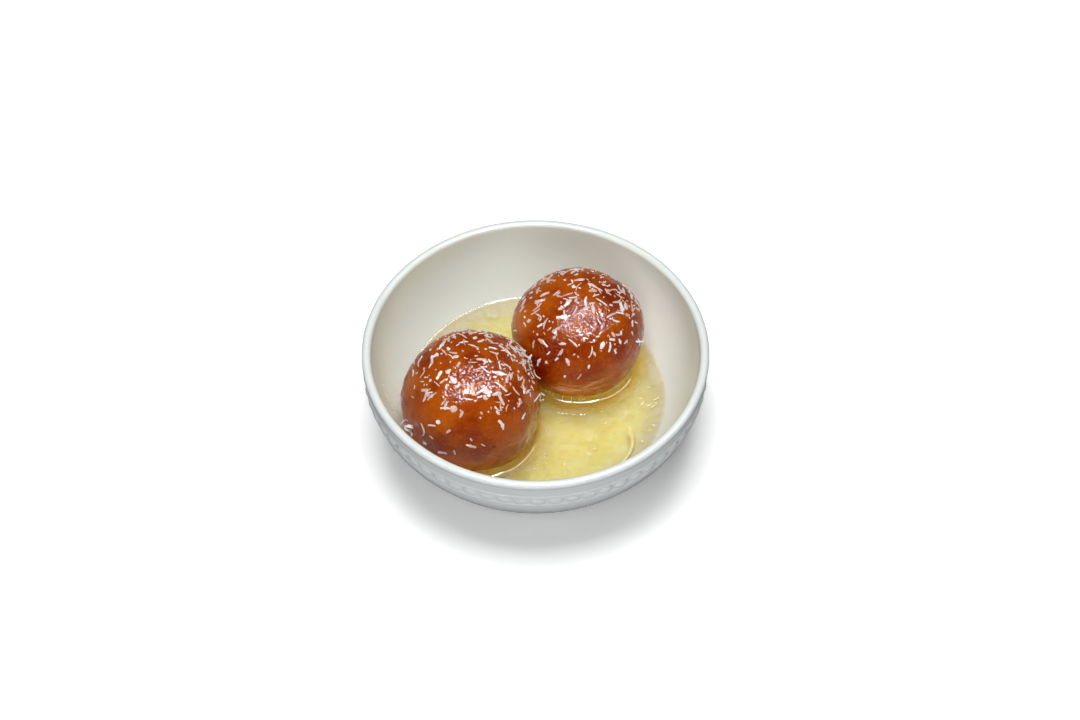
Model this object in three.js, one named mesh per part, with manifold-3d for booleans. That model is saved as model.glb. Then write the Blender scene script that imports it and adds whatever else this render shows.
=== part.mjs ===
// Two gulab jamun in a small white bowl: syrup-soaked milk balls under desiccated coconut.
// Millimetres, +Z up. The origin is the middle of the bowl's foot, on the table, and +Y is the back.

import * as THREE from 'three';
import { mergeVertices } from 'three/addons/utils/BufferGeometryUtils.js';
import Module from 'manifold-3d';

const wasm = await Module();
wasm.setup();

// Bowl
const BOWL_HEIGHT = 42;
const RIM_RADIUS = 58;
const LIP_RADIUS = 1.5;
const LIP_STEPS = 4;
const LIP_DEPTH = 3;
const BOWL_SIDES = 64;
const FLOOR_HEIGHT = 8;
const FLOOR_FLAT_RADIUS = 28;
// The inside wall's curve starts this far below the rim, runs straight down to the second drop's
// pull, and comes in to the floor along the last pull
const INSIDE = { startDrop: 2.5, wallPullDrop: 18, floorPullRadius: 41, floorPullHeight: 7.7 };
const INNER_STEPS = 9;
const FOOT = { outer: 33.5, inner: 30, height: 2.8, flare: 0.9, recess: 3.2, recessSlope: 1.8 };
const BAND_INSET = 0.5;

// The bead row, in drops below the rim
const LINE_HALF_WIDTH = 0.45;
const LINE_RISE = 0.25;
const UPPER_LINE_DROP = 6.9;
const LOWER_LINE_DROP = 11.4;
const CHANNEL_INSET = 0.8;
const BEAD_COUNT = 64;
const BEAD_START_DEG = 0.75;
const BEAD = { halfWidth: 2.25, halfHeight: 1.6, rise: 0.78, around: 6, rings: 4 };

// The outer wall under the bead row: a superellipse that would close below the foot
const WALL_INSET = 0.85;
const WALL_REACH = 42.5;
const WALL_POWER = 1.53;
const WALL_STEPS = 5;
const WALL_ABOVE_FOOT = 1.2;

// Syrup and the gap that neighbouring solids keep
const SYRUP_HEIGHT = 15.2;
const GAP = 0.32;

// Balls: widest at midHeight above the table, upper half-height crown, lower half fuller by power.
// Each lump is a low wave over the surface, as three weights of the direction and a phase.
const BALL_SIDES = 26;
const BALL_RINGS = 16;
const FRONT_BALL = {
  centre: [-21.6, -13.1], radius: 23.3, midHeight: 30.2, crown: 22.2, base: 22.8, power: 2.7,
  lumps: [[1.5, 0.5, -0.5, 0], [-0.7, 2.5, -1.6, 0.7], [3.1, -0.6, 0.7, 3.5]], seed: 11,
  shreds: { count: 40, lean: [0.16, -0.1], spread: 1.2 },
};
const BACK_BALL = {
  centre: [14.6, 16.6], radius: 22.6, midHeight: 29.6, crown: 20.1, base: 22.1, power: 2,
  lumps: [[0.5, -1.6, 2.1, 0.6], [1.1, 1.2, 0.7, 3.5], [-1.7, 0.8, 2.2, 2.8]], seed: 29,
  shreds: { count: 38, lean: [0.1, -0.22], spread: 1.25 },
};
const LUMP_HEIGHT = 0.3;

// Coconut shreds
const SHRED = { length: [3.2, 5.4], width: [0.9, 1.5], thickness: 0.62, tilt: 0.16, rise: 0.05 };
const SHRED_SYRUP_CLEARANCE = 4.3;
const SHRED_BALL_CLEARANCE = 2.6;
const SHRED_JITTER = 0.13;
// Shreds that lie on the bowl's wall: place round the bowl, height above the table, and turn
const WALL_SHREDS = [
  { aroundDeg: 185, height: 26.7, turnDeg: 20 },
  { aroundDeg: 189, height: 24.2, turnDeg: 75 },
  { aroundDeg: 193.5, height: 21.6, turnDeg: 110 },
  { aroundDeg: 178, height: 20.2, turnDeg: 60 },
];
const WALL_SHRED_SIZE = { length: 4.2, width: 1.3, rise: 0.12 };

const PORCELAIN = new THREE.MeshStandardMaterial({ color: 0xe4e6e5, roughness: 0.22, metalness: 0 });
const SYRUP = new THREE.MeshStandardMaterial({ color: 0xdbc973, roughness: 0.08, metalness: 0 });
const FRIED_MILK = new THREE.MeshStandardMaterial({ color: 0x98400a, roughness: 0.3, metalness: 0 });

const GOLDEN_ANGLE = Math.PI * (3 - Math.sqrt(5));
const HALVINGS = 40;
const MERGE_DISTANCE = 1e-4;
const NORMAL_STEP = 0.02;
const CROWN_POWER = 2;
const LUMP_WAVES = 2;

function seededDraw(seed) {
  let state = seed;
  return () => {
    state = (state + 0x6d2b79f5) | 0;
    let mixed = Math.imul(state ^ (state >>> 15), 1 | state);
    mixed = (mixed + Math.imul(mixed ^ (mixed >>> 7), 61 | mixed)) ^ mixed;
    return ((mixed ^ (mixed >>> 14)) >>> 0) / 2 ** 32;
  };
}

function toSolid(geometry) {
  geometry.deleteAttribute('normal');
  geometry.deleteAttribute('uv');
  const merged = mergeVertices(geometry, MERGE_DISTANCE);
  return new wasm.Manifold(new wasm.Mesh({
    numProp: 3,
    vertProperties: new Float32Array(merged.attributes.position.array),
    triVerts: new Uint32Array(merged.index.array),
  }));
}

function toGeometry(solid) {
  const mesh = solid.getMesh();
  const geometry = new THREE.BufferGeometry();
  geometry.setAttribute('position', new THREE.BufferAttribute(mesh.vertProperties, 3));
  geometry.setIndex(new THREE.BufferAttribute(mesh.triVerts, 1));
  geometry.computeVertexNormals();
  return geometry;
}

// Joins many small solids to a large one and drops any scrap that misses it
function joinAll(solid, pieces) {
  const joined = wasm.Manifold.union([solid, ...pieces]);
  return largestOf(joined);
}

function largestOf(solid) {
  const lumps = solid.decompose();
  return lumps.reduce((best, lump) => (lump.volume() > best.volume() ? lump : best));
}

function namedMesh(name, solid, material) {
  const mesh = new THREE.Mesh(toGeometry(solid), material);
  mesh.name = name;
  return mesh;
}

// Turns a profile of Vector2(radius, height) round the Z axis
function turned(profile) {
  const geometry = new THREE.LatheGeometry(profile, BOWL_SIDES);
  geometry.rotateX(Math.PI / 2);
  return toSolid(geometry);
}

// The bowl's inside, from the lip down to the edge of the flat floor
const insideCurve = new THREE.CubicBezierCurve(
  new THREE.Vector2(RIM_RADIUS - 2 * LIP_RADIUS, BOWL_HEIGHT - INSIDE.startDrop),
  new THREE.Vector2(RIM_RADIUS - 2 * LIP_RADIUS, BOWL_HEIGHT - INSIDE.wallPullDrop),
  new THREE.Vector2(INSIDE.floorPullRadius, INSIDE.floorPullHeight),
  new THREE.Vector2(FLOOR_FLAT_RADIUS, FLOOR_HEIGHT),
);

// Points on the inside curve, moved by inset into the hollow
function insidePoint(t, inset) {
  const along = insideCurve.getTangent(t);
  const point = insideCurve.getPoint(t);
  return new THREE.Vector2(point.x + inset * along.y, point.y - inset * along.x);
}

// The curve's place at a height, by halving
function insideAt(height) {
  let low = 0;
  let high = 1;
  for (let step = 0; step < HALVINGS; step += 1) {
    const middle = (low + high) / 2;
    if (insideCurve.getPoint(middle).y > height) low = middle;
    else high = middle;
  }
  return low;
}

function outsideRadius(drop) {
  const share = (drop - LOWER_LINE_DROP - LINE_HALF_WIDTH) / WALL_REACH;
  return (RIM_RADIUS - WALL_INSET) * (1 - share ** WALL_POWER) ** (1 / WALL_POWER);
}

function raisedLine(drop, insetBelow, insetAbove) {
  const height = BOWL_HEIGHT - drop;
  return [
    new THREE.Vector2(RIM_RADIUS - insetBelow, height - LINE_HALF_WIDTH),
    new THREE.Vector2(RIM_RADIUS - BAND_INSET + LINE_RISE, height),
    new THREE.Vector2(RIM_RADIUS - insetAbove, height + LINE_HALF_WIDTH),
  ];
}

function footPoints() {
  return [
    new THREE.Vector2(0, FOOT.recess),
    new THREE.Vector2(FOOT.inner - FOOT.recessSlope, FOOT.recess),
    new THREE.Vector2(FOOT.inner, 0),
    new THREE.Vector2(FOOT.outer, 0),
    new THREE.Vector2(FOOT.outer + FOOT.flare, FOOT.height),
  ];
}

function outerWallPoints() {
  const lowest = BOWL_HEIGHT - FOOT.height - WALL_ABOVE_FOOT;
  const highest = LOWER_LINE_DROP + LINE_HALF_WIDTH;
  const points = [];
  for (let step = 0; step < WALL_STEPS; step += 1) {
    const drop = lowest + ((highest - lowest) * step) / WALL_STEPS;
    points.push(new THREE.Vector2(outsideRadius(drop), BOWL_HEIGHT - drop));
  }
  return points;
}

function lipPoints() {
  const points = [new THREE.Vector2(RIM_RADIUS - BAND_INSET, BOWL_HEIGHT - LIP_DEPTH)];
  for (let step = 0; step <= LIP_STEPS; step += 1) {
    const turn = (Math.PI * step) / LIP_STEPS;
    points.push(new THREE.Vector2(
      RIM_RADIUS - LIP_RADIUS + LIP_RADIUS * Math.cos(turn),
      BOWL_HEIGHT - LIP_RADIUS + LIP_RADIUS * Math.sin(turn),
    ));
  }
  return points;
}

function insidePoints(inset) {
  const points = [];
  for (let step = 0; step <= INNER_STEPS; step += 1) {
    points.push(insidePoint(step / INNER_STEPS, inset));
  }
  return points;
}

function beads() {
  const ringRadius = RIM_RADIUS - CHANNEL_INSET;
  const height = BOWL_HEIGHT - (UPPER_LINE_DROP + LOWER_LINE_DROP) / 2;
  const row = [];
  for (let index = 0; index < BEAD_COUNT; index += 1) {
    const turn = THREE.MathUtils.degToRad(BEAD_START_DEG) + (2 * Math.PI * index) / BEAD_COUNT;
    const bead = new THREE.SphereGeometry(1, BEAD.around, BEAD.rings);
    bead.scale(BEAD.halfWidth, BEAD.rise, BEAD.halfHeight);
    bead.translate(0, -ringRadius, height);
    bead.rotateZ(turn);
    row.push(toSolid(bead));
  }
  return row;
}

// Lays a shred flat on a point with its thin side along the normal
function laidShred(shred, point, normal, turn) {
  const up = new THREE.Vector3(0, 0, 1);
  shred.rotateZ(turn);
  shred.applyQuaternion(new THREE.Quaternion().setFromUnitVectors(up, normal));
  shred.translate(point.x, point.y, point.z);
  return toSolid(shred);
}

function wallShreds() {
  return WALL_SHREDS.map(({ aroundDeg, height, turnDeg }) => {
    const turn = THREE.MathUtils.degToRad(aroundDeg);
    const place = insideAt(height);
    const surface = insidePoint(place, WALL_SHRED_SIZE.rise);
    const along = insideCurve.getTangent(place);
    const outOfWall = new THREE.Vector3(along.y * Math.cos(turn), along.y * Math.sin(turn), -along.x);
    const point = new THREE.Vector3(surface.x * Math.cos(turn), surface.x * Math.sin(turn), surface.y);
    const { length, width } = WALL_SHRED_SIZE;
    const shred = new THREE.BoxGeometry(length, width, SHRED.thickness);
    return laidShred(shred, point, outOfWall.normalize(), THREE.MathUtils.degToRad(turnDeg));
  });
}

function bowl() {
  const profile = [
    ...footPoints(),
    ...outerWallPoints(),
    ...raisedLine(LOWER_LINE_DROP, WALL_INSET, CHANNEL_INSET),
    ...raisedLine(UPPER_LINE_DROP, CHANNEL_INSET, BAND_INSET),
    ...lipPoints(),
    ...insidePoints(0),
    new THREE.Vector2(0, FLOOR_HEIGHT),
  ];
  return joinAll(turned(profile), [...beads(), ...wallShreds()]);
}

// The hollow that the food fills, one gap clear of the bowl
function hollow() {
  const top = BOWL_HEIGHT * 2;
  const wall = insidePoints(GAP).reverse();
  return turned([
    new THREE.Vector2(0, FLOOR_HEIGHT + GAP),
    ...wall,
    new THREE.Vector2(wall.at(-1).x, top),
    new THREE.Vector2(0, top),
  ]);
}

// A ball's surface in the direction (x, y, z) from its middle, grown by a margin
function ballSurface(ball, direction, margin) {
  const { x, y, z } = direction;
  const flat = Math.hypot(x, y);
  const power = z < 0 ? ball.power : CROWN_POWER;
  const reach = z < 0 ? ball.base : ball.crown;
  const size = (flat ** power + Math.abs(z) ** power) ** (-1 / power);
  const point = new THREE.Vector3(x * ball.radius, y * ball.radius, z * reach).multiplyScalar(size);
  const lump = ball.lumps.reduce(
    (sum, [a, b, c, phase]) => sum + Math.sin(LUMP_WAVES * (a * x + b * y + c * z) + phase),
    0,
  );
  point.multiplyScalar(1 + (LUMP_HEIGHT * lump + margin) / point.length());
  return point.add(new THREE.Vector3(...ball.centre, ball.midHeight));
}

function bareBall(ball, margin) {
  const geometry = new THREE.SphereGeometry(1, BALL_SIDES, BALL_RINGS);
  geometry.rotateX(Math.PI / 2);
  const place = geometry.attributes.position;
  const direction = new THREE.Vector3();
  for (let index = 0; index < place.count; index += 1) {
    direction.fromBufferAttribute(place, index);
    const point = ballSurface(ball, direction, margin);
    place.setXYZ(index, point.x, point.y, point.z);
  }
  return toSolid(geometry);
}

// How far a point lies outside a ball, along the line from its middle
function distanceTo(ball, point) {
  const middle = new THREE.Vector3(...ball.centre, ball.midHeight);
  const offset = point.clone().sub(middle);
  const reach = offset.z < 0 ? ball.base : ball.crown;
  const direction = new THREE.Vector3(offset.x / ball.radius, offset.y / ball.radius, offset.z / reach);
  return offset.length() - ballSurface(ball, direction.normalize(), 0).distanceTo(middle);
}

function surfaceNormal(ball, direction) {
  const across = new THREE.Vector3(0, 0, 1).cross(direction).normalize();
  const up = direction.clone().cross(across);
  const near = (side, amount) => {
    const beside = direction.clone().addScaledVector(side, amount);
    return ballSurface(ball, beside.normalize(), 0);
  };
  const alongAcross = near(across, NORMAL_STEP).sub(near(across, -NORMAL_STEP));
  const alongUp = near(up, NORMAL_STEP).sub(near(up, -NORMAL_STEP));
  return alongAcross.cross(alongUp).normalize();
}

// Shreds spread evenly over the crown on a golden-angle spiral, each moved a little by a seeded draw
function ballShreds(ball, other) {
  const draw = seededDraw(ball.seed);
  const between = ([low, high]) => low + (high - low) * draw();
  const { count, lean, spread } = ball.shreds;
  const pieces = [];
  for (let index = 0; index < count; index += 1) {
    const polar = spread * Math.sqrt((index + 0.5) / count) + SHRED_JITTER * (draw() - 0.5);
    const around = GOLDEN_ANGLE * index + SHRED_JITTER * (draw() - 0.5);
    const direction = new THREE.Vector3(
      Math.sin(polar) * Math.cos(around) + lean[0],
      Math.sin(polar) * Math.sin(around) + lean[1],
      Math.cos(polar),
    ).normalize();
    const normal = surfaceNormal(ball, direction);
    const point = ballSurface(ball, direction, 0).addScaledVector(normal, SHRED.rise);
    const shred = new THREE.BoxGeometry(between(SHRED.length), between(SHRED.width), SHRED.thickness);
    shred.rotateY(SHRED.tilt * (draw() - 0.5));
    const turn = Math.PI * draw();
    const clear = point.z > SYRUP_HEIGHT + SHRED_SYRUP_CLEARANCE
      && distanceTo(other, point) > SHRED_BALL_CLEARANCE;
    if (clear) pieces.push(laidShred(shred, point, normal, turn));
  }
  return pieces;
}

function gulabJamun(ball, other) {
  const body = largestOf(bareBall(ball, 0).intersect(hollow()));
  return joinAll(body, ballShreds(ball, other));
}

function syrup() {
  const filled = turned([
    new THREE.Vector2(0, 0),
    new THREE.Vector2(RIM_RADIUS, 0),
    new THREE.Vector2(RIM_RADIUS, SYRUP_HEIGHT),
    new THREE.Vector2(0, SYRUP_HEIGHT),
  ]);
  const pool = hollow().intersect(filled);
  return largestOf(pool.subtract(bareBall(FRONT_BALL, GAP)).subtract(bareBall(BACK_BALL, GAP)));
}

const gulabJamunBowl = new THREE.Group();
gulabJamunBowl.name = 'gulab_jamun_in_bowl';
gulabJamunBowl.add(
  namedMesh('bowl', bowl(), PORCELAIN),
  namedMesh('syrup', syrup(), SYRUP),
  namedMesh('gulab_jamun_front', gulabJamun(FRONT_BALL, BACK_BALL), FRIED_MILK),
  namedMesh('gulab_jamun_back', gulabJamun(BACK_BALL, FRONT_BALL), FRIED_MILK),
);

export default gulabJamunBowl;
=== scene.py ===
"""Two gulab jamun in golden sugar syrup, in a small white bowl with a row of beads.

Metres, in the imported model's frame: the origin is the middle of the bowl's foot on the table,
+Z is up and +Y is the back. The camera looks down on the bowl from the front.
"""

import math

import bpy
import numpy as np
from mathutils import Matrix, Vector, noise
from mathutils.bvhtree import BVHTree


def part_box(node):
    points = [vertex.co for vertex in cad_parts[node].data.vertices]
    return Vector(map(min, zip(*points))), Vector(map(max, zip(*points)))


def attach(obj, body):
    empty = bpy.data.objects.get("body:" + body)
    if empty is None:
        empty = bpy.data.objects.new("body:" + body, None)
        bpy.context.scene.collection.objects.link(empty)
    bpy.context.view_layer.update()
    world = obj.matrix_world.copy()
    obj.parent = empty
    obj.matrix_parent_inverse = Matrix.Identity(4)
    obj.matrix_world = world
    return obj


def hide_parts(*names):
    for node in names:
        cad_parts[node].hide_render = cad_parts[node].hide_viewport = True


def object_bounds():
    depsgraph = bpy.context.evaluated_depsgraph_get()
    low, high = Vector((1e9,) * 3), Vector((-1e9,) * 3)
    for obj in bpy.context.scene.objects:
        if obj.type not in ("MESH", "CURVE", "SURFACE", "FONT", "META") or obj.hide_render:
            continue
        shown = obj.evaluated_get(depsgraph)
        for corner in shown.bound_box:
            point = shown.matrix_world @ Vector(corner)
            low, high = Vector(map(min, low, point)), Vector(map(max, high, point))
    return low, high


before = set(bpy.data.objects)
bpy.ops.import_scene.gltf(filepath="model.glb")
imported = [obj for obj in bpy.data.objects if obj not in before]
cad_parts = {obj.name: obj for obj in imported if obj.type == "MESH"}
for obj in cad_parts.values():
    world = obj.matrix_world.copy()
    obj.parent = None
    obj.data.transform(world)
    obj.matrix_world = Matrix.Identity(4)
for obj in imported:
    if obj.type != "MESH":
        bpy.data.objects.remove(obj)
cad_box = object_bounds()

# ---------------- sizes

BOWL_RADIUS = cad_box[1].x
BOWL_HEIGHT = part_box("bowl")[1].z
SYRUP_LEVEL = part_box("syrup")[1].z
TURN = 2 * math.pi
# The innermost ring of a flat face, and how far each step of a seed shifts noise
MIDDLE_RADIUS = 0.002
NOISE_SHIFT = (0.37, 0.11, 0.53)

# Bowl profile, as radius and height, or as a drop below the rim
LIP_RADIUS = 0.0015
INSIDE_RADIUS = BOWL_RADIUS - 2 * LIP_RADIUS
INSIDE_CURVE = np.array(
    [
        (INSIDE_RADIUS, BOWL_HEIGHT - 0.0025),
        (INSIDE_RADIUS, BOWL_HEIGHT - 0.018),
        (0.041, 0.0077),
        (0.028, 0.008),
    ]
)
INSIDE_STEPS = 400
BAND_START = 2.2 * LIP_RADIUS
BAND_INSET = 0.0005
CHANNEL_INSET = 0.0008
CHANNEL_STEP = 0.0005
WALL_INSET = 0.00085
LINE_RISE = 0.00032
LINE_WIDTH = 0.00036
UPPER_LINE_DROP = 0.0069
LOWER_LINE_DROP = 0.0114
WALL_START_DROP = 0.01185
WALL_END_DROP = 0.038
WALL_REACH = 0.0425
WALL_POWER = 1.53
FOOT_OUTER = 0.0335
FOOT_INNER = 0.030
FOOT_HEIGHT = 0.0028
FOOT_FLARE = 0.0009
FOOT_RECESS = 0.0032
FOOT_ROUNDING = 0.0006
FOOT_FILLET = (0.0008, 0.0006)
FOOT_TURNS = 6
CORNER_DROP = 0.0004
RECESS_SLOPE = 0.0018
RECESS_FILLET = 0.0006
RECESS_FLAT = 0.003
BEAD_COUNT = 64
BEAD_START = math.radians(0.75)
BEAD_HALF_WIDTH = 0.00225
BEAD_HALF_HEIGHT = 0.0016
BEAD_RISE = 0.00078
BEAD_BLEND = 0.00012
BEAD_BAND = (0.0062, 0.0122)
SIDES = 320
BEAD_SIDES = 20 * BEAD_COUNT
FLOOR_RINGS = 12
INSIDE_RINGS = 56
LIP_RINGS = 15
BAND_RINGS = 16
BEAD_RINGS = 30
WALL_RINGS = 44
RECESS_RINGS = 8

# Balls: widest at mid_height, crown high above it, base deep below it and fuller there by power
FRONT_BALL = dict(
    centre=(-0.0216, -0.0131), mid_height=0.0302, radius=0.0233, crown=0.0222, base=0.0228,
    power=2.7, lumps=((1.5, 0.5, -0.5, 0), (-0.7, 2.5, -1.6, 0.7), (3.1, -0.6, 0.7, 3.5)), seed=11,
)
BACK_BALL = dict(
    centre=(0.0146, 0.0166), mid_height=0.0296, radius=0.0226, crown=0.0201, base=0.0221,
    power=2, lumps=((0.5, -1.6, 2.1, 0.6), (1.1, 1.2, 0.7, 3.5), (-1.7, 0.8, 2.2, 2.8)), seed=29,
)
BALLS = (FRONT_BALL, BACK_BALL)
LUMP_HEIGHT = 0.0003
# Height and size of each layer of bumps
BALL_RELIEF = ((0.00014, 0.0055), (0.00014, 0.0022), (0.00006, 0.0012))
BALL_SIDES = 300
BALL_RINGS = 190
CUTTER_SIDES = 96
CUTTER_RINGS = 60
WALL_GAP = 0.0003

# Syrup: drawn up round the balls in collars, and at the wall by a height that fades over a length
CAPILLARY_LENGTH = 0.0018
CAPILLARY_RANGE = (1.38, 0.01)
CAPILLARY_STEPS = 200
COLLAR_REACH = 0.0060
COLLAR_CORE = 0.6
COLLAR_DEPTH = 0.001
COLLAR_LIMIT = 0.006
COLLAR_SIDES = 320
COLLAR_RINGS = 60
COLLAR_CROWDING = 1.6
WALL_MENISCUS = (0.0009, 0.0011)
WALL_OVERLAP = 0.0004
SYRUP_WALL_DROP = 0.0008
RIM_OVERLAP = 0.0001
BALL_OVERLAP = 0.0004
SYRUP_SIDES = 640
SYRUP_RINGS = 110
SYRUP_REACH = 0.98
SYRUP_CROWDING = 1.8
SYRUP_WALL_STEP = 10

# Camera
CAMERA_PLACE = (0.0, -0.448287, 0.579623)
CAMERA_TURN = (math.radians(39.426), 0.0, math.radians(-0.1916))
CAMERA_LENS = 69.98
CAMERA_SENSOR = 36.0
CAMERA_NEAR = 0.01
PICTURE = (1080, 720)
NEAREST_STEPS = 4

# Lights: name, place, length and width, direction of the length, power in watts, and what they
# light: gloss or the rest
LIGHT_TARGET = (0.0, 0.0, 0.02)
LIGHTS = (
    ("glint_lamp", (0.04, -0.20, 0.93), (0.62, 0.12), (1, 0, 0), 31.0, "gloss"),
    ("side_lamp", (0.446, 0.136, 0.849), (0.52, 0.10), (0.225, 0.346, -0.16), 3.0, "gloss"),
    ("top_fill", (-0.01, 0.02, 0.95), (0.50, 0.50), (1, 0, 0), 7.0, "rest"),
    ("front_fill", (-0.12, -0.67, 0.78), (0.40, 0.40), (1, 0, 0), 2.0, "rest"),
    ("low_fill", (0.04, -1.00, 0.38), (0.50, 0.50), (1, 0, 0), 3.5, "rest"),
)
ROOM_COLOUR = (0.96, 0.985, 1.0)
ROOM_STRENGTH = 0.06
ROOM_SEEN_STRENGTH = 0.9
FLOOR_REACH = 3

# Colours, in pairs where noise or wetness mixes two
GLAZE = ((0.80, 0.832, 0.84, 1), (0.825, 0.857, 0.865, 1))
# Painted tint of the warm light inside the bowl, greener and less blue than the glaze outside
GLAZE_INSIDE_PAINTED_LIGHT = (0.81, 0.868, 0.815, 1)
# Painted shade on the glaze under the shallow syrup near the wall
GLAZE_PAINTED_SHADE_IN_SHALLOWS = (0.67, 0.66, 0.585, 1)
BARE_CLAY = (0.74, 0.71, 0.66, 1)
DOUGH = ((0.42, 0.076, 0.0012, 1), (0.25, 0.022, 0.0006, 1))
DARK_DOUGH_AND_SHADE = (0.20, 0.011, 0.0004, 1)
PALE_DOUGH_AND_LIGHT = (0.52, 0.118, 0.003, 1)
DOUGH_GRAIN = (0.62, 0.19, 0.02, 1)
DOUGH_PAINTED_REFLECTION = (0.33, 0.13, 0.012, 1)
SYRUP = ((0.96, 0.93, 0.72, 1), (0.84, 0.70, 0.26, 1))
SYRUP_PAINTED_GLOW = (1.0, 0.66, 0.06, 1)
SYRUP_TINT = (0.965, 0.85, 0.05, 1)
DRY_COCONUT = ((0.93, 0.90, 0.89, 1), (0.98, 0.97, 0.97, 1))
WET_COCONUT = ((0.62, 0.30, 0.18, 1), (0.76, 0.50, 0.40, 1))
SUNK_COCONUT = ((0.84, 0.78, 0.56, 1), (0.78, 0.68, 0.40, 1))
SAFFRON = ((0.66, 0.55, 0.16, 1), (0.74, 0.63, 0.24, 1))
# Bubble rims: the syrup's golden colour, made paler as a painted highlight
BUBBLE_RIM_HIGHLIGHT = (0.92, 0.78, 0.24, 1)
FLOOR_SEEN = ((1.29, 1.29, 1.29, 1), (1.33, 1.33, 1.33, 1))
FLOOR_LIT = (0.32, 0.32, 0.32, 1)

# Heights, each from where an effect starts to where it is full: no glaze on the foot's edge, glaze
# dulled by syrup, painted shade on the glaze as the syrup gets shallow, and a painted reflection of the
# syrup and wall on the dough near the syrup
BARE_FOOT = (0.0004, 0.0002)
SUNK_GLAZE = (SYRUP_LEVEL + 0.0006, SYRUP_LEVEL - 0.0002)
PAINTED_SHADE_HEIGHTS = (0.0092, 0.0128)
PAINTED_REFLECTION_HEIGHTS = (0.0245, 0.0170)
# What Shader.outward gives on the bowl's outside and inside
INWARD = (0.004, -0.004)
# Syrup near a ball gets a painted glow of golden light bounced from it: how far past the ball's radius the
# glow starts and is full, how strong it is, and how much less clear the syrup gets there
BALL_GLOW_REACH = (0.0046, -0.002)
BALL_GLOW_STRENGTH = 0.9
BALL_GLOW_CLOUDINESS = 0.30
# Dough: how strong the painted reflection of the syrup and wall is near the syrup, and how wavy and wrinkled
# it is outside the spots
PAINTED_REFLECTION_SHARE = 0.55
PLAIN_WAVES = 0.15
PLAIN_WRINKLES = 0.08

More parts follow.
